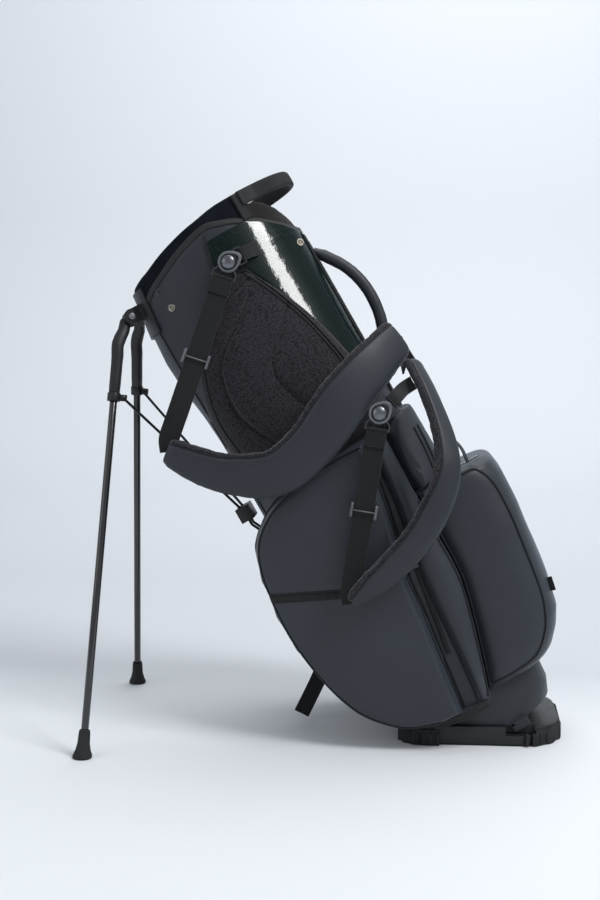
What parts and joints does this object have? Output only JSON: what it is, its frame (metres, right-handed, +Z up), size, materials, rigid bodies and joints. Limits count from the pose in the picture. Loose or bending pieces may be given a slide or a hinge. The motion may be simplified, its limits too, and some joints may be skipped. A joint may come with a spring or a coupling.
{
  "type": "golf stand bag",
  "caption": "Leaning golf stand bag: soft tube with side pockets, shoulder strap and lift handle, on two folding legs tied by rods to a hinged foot plate.",
  "frame": {"origin": "middle of the foot plate, on the floor", "axes": "+Z up, +X from the legs to the spine of the bag, +Y from the strap side to the far side"},
  "size_m": [0.7318, 0.4538, 0.8709],
  "materials": {
    "leatherette": "matt grained leatherette",
    "air_mesh": "matt spacer mesh",
    "webbing": "matt woven webbing",
    "lining": "matt woven lining",
    "moulding": "satin moulded plastic",
    "carbon_film": "clear-coated woven film",
    "leg_paint": "gloss painted aluminium",
    "rod_steel": "black coated steel wire",
    "grey_metal": "satin grey zinc",
    "silver_metal": "bright nickel plate",
    "rubber": "matt rubber"
  },
  "bodies": {
    "bag": {"accessory_pocket": "leatherette", "ball_pocket": "leatherette", "ball_zip_chain": "silver_metal", "base_cup": "moulding", "carbon_panel": "carbon_film", "divider_sheet_far": "lining", "divider_sheet_long": "lining", "divider_sheet_near": "lining", "garment_pocket_far": "leatherette", "garment_pocket_near": "leatherette", "garment_zip_chain": "silver_metal", "hip_pad": "air_mesh", "leg_lock_strap": "webbing", "leg_pin_far": "grey_metal", "leg_pin_near": "grey_metal", "lift_handle": "moulding", "rivet_leg_side": "silver_metal", "rivet_spine_side": "silver_metal", "rod_guide_lower": "moulding", "rod_guide_upper": "moulding", "shoulder_pad_lower": "leatherette", "shoulder_pad_upper": "leatherette", "side_gusset": "leatherette", "spine_handle": "leatherette", "spine_strip": "webbing", "stand_bracket": "moulding", "stay_far": "rod_steel", "stay_near": "rod_steel", "strap_connector_lower": "grey_metal", "strap_connector_upper": "grey_metal", "strap_junction": "webbing", "strap_tab_lower": "webbing", "strap_tab_upper": "webbing", "top_collar": "moulding", "top_divider": "air_mesh", "towel_loop": "leatherette", "tube_shell": "leatherette", "webbing_lower": "webbing", "webbing_upper": "webbing"},
    "foot_plate": {"foot_plate": "moulding", "foot_sole": "rubber", "base_hinge_rod": "rod_steel"},
    "leg_near": {"leg_head_near": "moulding", "leg_tube_near": "leg_paint", "leg_foot_near": "rubber", "leg_collar_near": "moulding"},
    "leg_far": {"leg_head_far": "moulding", "leg_tube_far": "leg_paint", "leg_foot_far": "rubber", "leg_collar_far": "moulding"},
    "rod_arm_near": {"rod_arm_near": "rod_steel"},
    "rod_arm_far": {"rod_arm_far": "rod_steel"},
    "push_rod": {"rod_yoke": "moulding", "push_rod": "rod_steel"},
    "adjuster_upper": {"adjuster_upper": "grey_metal"},
    "adjuster_lower": {"adjuster_lower": "grey_metal"},
    "dome_upper": {"connector_dome_upper": "grey_metal"},
    "dome_lower": {"connector_dome_lower": "grey_metal"},
    "garment_zip_slider": {"garment_zip_slider": "silver_metal"},
    "ball_zip_slider": {"ball_zip_slider": "silver_metal"}
  },
  "joints": [
    {"name": "foot_plate_hinge", "type": "hinge", "parent": "bag", "child": "foot_plate", "pos_m": [0.052, 0, 0.03], "axis": [0, -1, 0], "range_deg": [0, 30]},
    {"name": "leg_near_hinge", "type": "hinge", "parent": "bag", "child": "leg_near", "pos_m": [-0.5383, -0.052, 0.64643], "axis": [0.3349, -0.9222, 0.1933], "range_deg": [0, 35.28]},
    {"name": "leg_far_hinge", "type": "hinge", "parent": "bag", "child": "leg_far", "pos_m": [-0.5383, 0.052, 0.64643], "axis": [-0.3349, -0.9222, -0.1933], "range_deg": [0, 35.28]},
    {"name": "rod_arm_near_hinge", "type": "hinge", "parent": "leg_near", "child": "rod_arm_near", "pos_m": [-0.54325, -0.08752, 0.52471], "axis": [-0.4028, 0.9151, -0.0199], "range_deg": [0, 50.81]},
    {"name": "rod_arm_far_hinge", "type": "hinge", "parent": "leg_far", "child": "rod_arm_far", "pos_m": [-0.54325, 0.08752, 0.52471], "axis": [0.4028, 0.9151, 0.0199], "range_deg": [0, 50.81]},
    {"name": "push_rod_slide", "type": "slide", "parent": "bag", "child": "push_rod", "axis": [0.5, 0, -0.866], "range_m": [0, 0.03734]},
    {"name": "adjuster_upper_slide", "type": "slide", "parent": "bag", "child": "adjuster_upper", "axis": [-0.303, -0.1622, -0.9391], "range_m": [-0.045, 0.045]},
    {"name": "dome_upper_swivel", "type": "hinge", "parent": "bag", "child": "dome_upper", "pos_m": [-0.37569, -0.1345, 0.72877], "axis": [0, -1, 0], "range_deg": [-45, 45]},
    {"name": "adjuster_lower_slide", "type": "slide", "parent": "bag", "child": "adjuster_lower", "axis": [-0.1541, -0.0252, -0.9877], "range_m": [-0.06, 0.035]},
    {"name": "dome_lower_swivel", "type": "hinge", "parent": "bag", "child": "dome_lower", "pos_m": [-0.15157, -0.182, 0.5106], "axis": [0, -1, 0], "range_deg": [-45, 45]},
    {"name": "garment_zip_slide", "type": "slide", "parent": "bag", "child": "garment_zip_slider", "axis": [0.3567, 0.0329, -0.9336], "range_m": [0, 0.14]},
    {"name": "ball_zip_slide", "type": "slide", "parent": "bag", "child": "ball_zip_slider", "axis": [0.866, 0, 0.5], "range_m": [0, 0.042]}
  ],
  "couplings": [
    {"joint": "leg_near_hinge", "follows": "foot_plate_hinge", "ratio": 1.1755},
    {"joint": "leg_far_hinge", "follows": "foot_plate_hinge", "ratio": 1.1755},
    {"joint": "rod_arm_near_hinge", "follows": "foot_plate_hinge", "ratio": 1.6927},
    {"joint": "rod_arm_far_hinge", "follows": "foot_plate_hinge", "ratio": 1.6927},
    {"joint": "push_rod_slide", "follows": "foot_plate_hinge", "m_per_rad": 0.071238}
  ]
}
